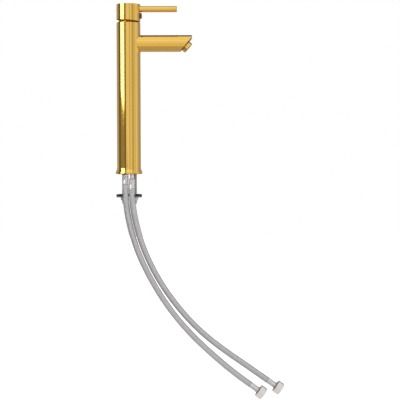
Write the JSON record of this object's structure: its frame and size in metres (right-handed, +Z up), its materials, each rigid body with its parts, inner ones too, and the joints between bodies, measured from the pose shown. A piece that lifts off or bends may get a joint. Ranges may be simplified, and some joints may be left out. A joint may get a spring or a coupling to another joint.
{
  "type": "bathroom mixer faucet",
  "caption": "Tall round-column single-lever basin mixer with a short mitred spout, rod lever, drum handle, braided supply hoses and double-stud fixing kit.",
  "frame": {"origin": "middle of the base on the countertop, under the ring gasket", "axes": "+Z up along the column, +X along the spout and the lever, -Y on the hot side"},
  "size_m": [0.3315, 0.0527, 0.77],
  "materials": {
    "gold": "polished gold plating",
    "brass": "machined",
    "copper": "drawn copper tube",
    "nickel": "nickel plated",
    "zinc_steel": "zinc plated",
    "plate_steel": "stamped, dull",
    "braid": "stainless steel braid over a rubber hose",
    "rubber": "matt black moulded rubber",
    "ceramic": "lapped ceramic",
    "cartridge_plastic": "moulded",
    "strainer_plastic": "moulded",
    "index_plastic": "red and blue halves"
  },
  "bodies": {
    "fixed": {"body_shell": "gold", "spout_tube": "gold", "aerator_housing": "gold", "aerator_insert": "strainer_plastic", "aerator_washer": "rubber", "dome_cover": "gold", "ring_gasket": "rubber", "cartridge_seat": "brass", "base_block": "brass", "riser_hot": "copper", "riser_cold": "copper", "cartridge_base": "cartridge_plastic", "seal_hot": "rubber", "seal_cold": "rubber", "seal_outlet": "rubber", "fixed_disc": "ceramic", "cartridge_housing": "cartridge_plastic", "retaining_nut": "brass", "stud_left": "zinc_steel", "stud_right": "zinc_steel", "hose_stem_hot": "nickel", "hose_stem_cold": "nickel", "top_ferrule_hot": "nickel", "top_ferrule_cold": "nickel", "hose_hot": "braid", "hose_cold": "braid", "end_ferrule_hot": "nickel", "end_ferrule_cold": "nickel", "hose_tail_hot": "nickel", "hose_tail_cold": "nickel"},
    "turret": {"rotor": "cartridge_plastic", "pivot_pin": "zinc_steel"},
    "handle": {"handle_cap": "gold", "lever_rod": "gold", "grub_screw": "zinc_steel", "index_plug": "index_plastic", "stem": "brass"},
    "disc": {"moving_disc": "ceramic", "disc_carrier": "cartridge_plastic"},
    "clamp": {"clamp_gasket": "rubber", "clamp_plate": "plate_steel", "stud_washer_left": "zinc_steel", "stud_washer_right": "zinc_steel"},
    "nut_left": {"stud_nut_left": "zinc_steel"},
    "nut_right": {"stud_nut_right": "zinc_steel"},
    "hot_nut": {"hose_nut_hot": "nickel", "nut_washer_hot": "rubber"},
    "cold_nut": {"hose_nut_cold": "nickel", "nut_washer_cold": "rubber"}
  },
  "joints": [
    {"name": "handle_turn", "type": "hinge", "parent": "fixed", "child": "turret", "pos_m": [0, 0, 0.279], "axis": [0, 0, 1], "range_deg": [-45, 45]},
    {"name": "handle_tilt", "type": "hinge", "parent": "turret", "child": "handle", "pos_m": [0, 0, 0.279], "axis": [0, -1, 0], "range_deg": [0, 20]},
    {"name": "disc_slide", "type": "slide", "parent": "turret", "child": "disc", "axis": [1, 0, 0], "range_m": [0, 0.0032]},
    {"name": "clamp_slide", "type": "slide", "parent": "fixed", "child": "clamp", "axis": [0, 0, 1], "range_m": [0, 0.037]},
    {"name": "nut_left_turn", "type": "hinge", "parent": "clamp", "child": "nut_left", "pos_m": [-0.0117, 0.0085, -0.05], "axis": [0, 0, 1], "continuous": true},
    {"name": "nut_right_turn", "type": "hinge", "parent": "clamp", "child": "nut_right", "pos_m": [0.0117, 0.0085, -0.05], "axis": [0, 0, 1], "continuous": true},
    {"name": "hot_nut_turn", "type": "hinge", "parent": "fixed", "child": "hot_nut", "pos_m": [0.25941, -0.01088, -0.42878], "axis": [0.8116, -0.003, -0.5842], "continuous": true},
    {"name": "cold_nut_turn", "type": "hinge", "parent": "fixed", "child": "cold_nut", "pos_m": [0.29361, -0.00009, -0.422], "axis": [0.8189, 0.0041, -0.5739], "continuous": true}
  ],
  "couplings": [
    {"joint": "disc_slide", "follows": "handle_tilt", "m_per_rad": 0.009}
  ]
}
